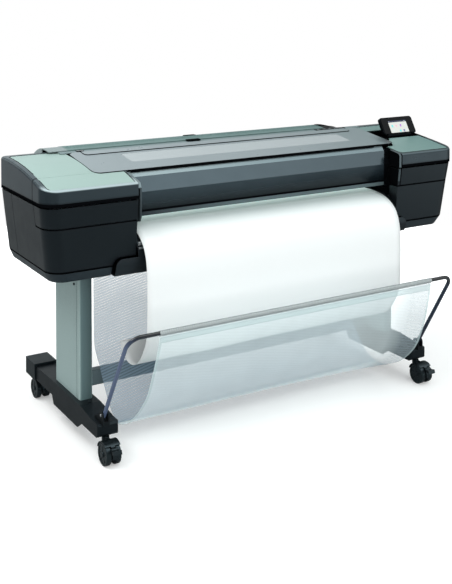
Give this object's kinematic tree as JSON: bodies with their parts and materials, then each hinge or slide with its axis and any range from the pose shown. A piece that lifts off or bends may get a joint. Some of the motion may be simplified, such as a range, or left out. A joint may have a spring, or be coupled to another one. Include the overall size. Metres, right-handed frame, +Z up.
{
  "type": "large format plotter",
  "caption": "Free-standing large format plotter with roll feed, hinged covers, tilting touch screen, catch basket and a T-foot stand on casters.",
  "frame": {"origin": "on the floor, under the middle of the whole machine with its basket", "axes": "+X to the operator's right along the machine, +Y to the back, +Z up"},
  "size_m": [1.797, 0.85, 1.0301],
  "materials": {
    "body_dark": "textured moulded, charcoal",
    "body_black": "textured moulded, black",
    "panel_silver": "fine satin, pale grey green",
    "window_grey": "satin tinted grey",
    "window_clear": "smoked acrylic",
    "hood_teal": "finely ribbed, grey teal",
    "column_silver": "satin silver paint",
    "foot_dark": "dark grey structured paint",
    "steel": "zinc plated sheet",
    "aluminium": "extruded, anodised",
    "rod_paint": "gloss slate black",
    "mesh": "open weave polyester mesh",
    "paper": "coated matte paper",
    "rubber": "soft, matte",
    "caster_black": "moulded nylon",
    "screen_black": "gloss black",
    "screen_glass": "polished display glass",
    "ink": "moulded cartridge"
  },
  "bodies": {
    "stand_and_frame": {"foot_left": "foot_dark", "foot_right": "foot_dark", "foot_caps": "foot_dark", "column_left": "column_silver", "column_right": "column_silver", "cross_beam": "foot_dark", "stand_bolts": "steel", "basket_hinge_brackets": "body_black", "basket_rear_sheet": "mesh", "main_chassis": "steel", "left_middle_cover": "body_dark", "left_lower_cover": "body_dark", "right_middle_cover": "body_dark", "right_lower_cover": "body_dark", "side_skirts": "body_dark", "left_top_cover": "body_dark", "top_panels": "panel_silver", "right_top_cover": "body_dark", "front_beam": "body_dark", "output_deck": "body_black", "paper_sheet": "paper", "platen": "body_black", "carriage_rail": "aluminium", "drive_belt": "rubber", "carriage_motor": "steel", "ink_cartridges": "ink", "electronics_box": "steel", "rear_cover": "body_black", "top_bridge": "window_grey", "roll_supports": "body_black"},
    "ink_lid": {"ink_cover": "body_dark", "ink_cover_panel": "panel_silver"},
    "window": {"window_cover": "window_grey", "window_pane": "window_clear"},
    "roll_hood": {"roll_cover": "hood_teal"},
    "touchscreen": {"touchscreen_housing": "screen_black", "touchscreen_glass": "screen_glass"},
    "print_carriage": {"carriage": "body_black", "printheads": "ink"},
    "cutter": {"cutter": "body_black"},
    "service_station": {"service_station": "body_black"},
    "motor_pulley": {"motor_pulley": "steel"},
    "idler_pulley": {"idler_pulley": "steel"},
    "feed_roller": {"drive_roller": "rubber"},
    "pinch_rollers": {"pinch_rollers": "rubber"},
    "roll_spindle": {"spindle": "body_black", "media_roll": "paper"},
    "basket_frame": {"basket_rod": "rod_paint", "basket_front_flap": "mesh"},
    "power_switch": {"power_switch": "body_black"},
    "swivel_front_left": {"caster_hood_front_left": "caster_black"},
    "wheels_front_left": {"caster_wheels_front_left": "caster_black"},
    "brake_front_left": {"caster_brake_front_left": "caster_black"},
    "swivel_front_right": {"caster_hood_front_right": "caster_black"},
    "wheels_front_right": {"caster_wheels_front_right": "caster_black"},
    "brake_front_right": {"caster_brake_front_right": "caster_black"},
    "swivel_rear_left": {"caster_hood_rear_left": "caster_black"},
    "wheels_rear_left": {"caster_wheels_rear_left": "caster_black"},
    "swivel_rear_right": {"caster_hood_rear_right": "caster_black"},
    "wheels_rear_right": {"caster_wheels_rear_right": "caster_black"}
  },
  "joints": [
    {"name": "window_hinge", "type": "hinge", "parent": "stand_and_frame", "child": "window", "pos_m": [0, 0.1245, 0.9845], "axis": [-1, 0, 0], "range_deg": [0, 65]},
    {"name": "ink_cover_hinge", "type": "hinge", "parent": "stand_and_frame", "child": "ink_lid", "pos_m": [-0.728, -0.1135, 0.9506], "axis": [-1, 0, 0], "range_deg": [0, 80]},
    {"name": "roll_cover_hinge", "type": "hinge", "parent": "stand_and_frame", "child": "roll_hood", "pos_m": [0, 0.154, 0.988], "axis": [1, 0, 0], "range_deg": [0, 65]},
    {"name": "touchscreen_tilt", "type": "hinge", "parent": "stand_and_frame", "child": "touchscreen", "pos_m": [0.789, -0.0025, 0.957], "axis": [1, 0, 0], "range_deg": [-40, 20]},
    {"name": "carriage_slide", "type": "slide", "parent": "stand_and_frame", "child": "print_carriage", "axis": [-1, 0, 0], "range_m": [0, 1.43]},
    {"name": "motor_pulley_spin", "type": "hinge", "parent": "stand_and_frame", "child": "motor_pulley", "pos_m": [0.838, 0.0935, 0.913], "axis": [0, 0, 1], "continuous": true},
    {"name": "idler_pulley_spin", "type": "hinge", "parent": "stand_and_frame", "child": "idler_pulley", "pos_m": [-0.838, 0.0935, 0.913], "axis": [0, 0, 1], "continuous": true},
    {"name": "cutter_slide", "type": "slide", "parent": "stand_and_frame", "child": "cutter", "axis": [1, 0, 0], "range_m": [0, 1.04]},
    {"name": "service_station_lift", "type": "slide", "parent": "stand_and_frame", "child": "service_station", "axis": [0, 0, -1], "range_m": [0, 0.007]},
    {"name": "roll_spin", "type": "hinge", "parent": "stand_and_frame", "child": "roll_spindle", "pos_m": [0, 0.2995, 0.868], "axis": [1, 0, 0], "continuous": true},
    {"name": "feed_roller_spin", "type": "hinge", "parent": "stand_and_frame", "child": "feed_roller", "pos_m": [0.02, 0.0765, 0.7456], "axis": [1, 0, 0], "continuous": true},
    {"name": "pinch_roller_spin", "type": "hinge", "parent": "stand_and_frame", "child": "pinch_rollers", "pos_m": [0.02, 0.0765, 0.7689], "axis": [1, 0, 0], "continuous": true},
    {"name": "basket_rod_hinge", "type": "hinge", "parent": "stand_and_frame", "child": "basket_frame", "pos_m": [0, -0.2305, 0.158], "axis": [1, 0, 0], "range_deg": [-20, 45], "deforming": ["basket_front_flap"]},
    {"name": "power_switch_rocker", "type": "hinge", "parent": "stand_and_frame", "child": "power_switch", "pos_m": [0.762, 0.2085, 0.729], "axis": [1, 0, 0], "range_deg": [-6, 6]},
    {"name": "caster_swivel_front_left", "type": "hinge", "parent": "stand_and_frame", "child": "swivel_front_left", "pos_m": [-0.687, -0.2235, 0.084], "axis": [0, 0, 1], "continuous": true},
    {"name": "caster_roll_front_left", "type": "hinge", "parent": "swivel_front_left", "child": "wheels_front_left", "pos_m": [-0.687, -0.2555, 0.0375], "axis": [1, 0, 0], "continuous": true},
    {"name": "caster_brake_press_front_left", "type": "hinge", "parent": "swivel_front_left", "child": "brake_front_left", "pos_m": [-0.687, -0.29576, 0.06364], "axis": [1, 0, 0], "range_deg": [0, 12]},
    {"name": "caster_swivel_front_right", "type": "hinge", "parent": "stand_and_frame", "child": "swivel_front_right", "pos_m": [0.687, -0.2235, 0.084], "axis": [0, 0, 1], "continuous": true},
    {"name": "caster_roll_front_right", "type": "hinge", "parent": "swivel_front_right", "child": "wheels_front_right", "pos_m": [0.687, -0.2555, 0.0375], "axis": [1, 0, 0], "continuous": true},
    {"name": "caster_brake_press_front_right", "type": "hinge", "parent": "swivel_front_right", "child": "brake_front_right", "pos_m": [0.687, -0.29576, 0.06364], "axis": [1, 0, 0], "range_deg": [0, 12]},
    {"name": "caster_swivel_rear_left", "type": "hinge", "parent": "stand_and_frame", "child": "swivel_rear_left", "pos_m": [-0.687, 0.3435, 0.084], "axis": [0, 0, 1], "continuous": true},
    {"name": "caster_roll_rear_left", "type": "hinge", "parent": "swivel_rear_left", "child": "wheels_rear_left", "pos_m": [-0.687, 0.3755, 0.0375], "axis": [1, 0, 0], "continuous": true},
    {"name": "caster_swivel_rear_right", "type": "hinge", "parent": "stand_and_frame", "child": "swivel_rear_right", "pos_m": [0.687, 0.3435, 0.084], "axis": [0, 0, 1], "continuous": true},
    {"name": "caster_roll_rear_right", "type": "hinge", "parent": "swivel_rear_right", "child": "wheels_rear_right", "pos_m": [0.687, 0.3755, 0.0375], "axis": [1, 0, 0], "continuous": true}
  ],
  "couplings": [
    {"joint": "motor_pulley_spin", "follows": "carriage_slide", "rad_per_m": -71.429},
    {"joint": "idler_pulley_spin", "follows": "carriage_slide", "rad_per_m": -71.429},
    {"joint": "feed_roller_spin", "follows": "roll_spin", "ratio": -4.4604},
    {"joint": "pinch_roller_spin", "follows": "roll_spin", "ratio": 7.561}
  ]
}
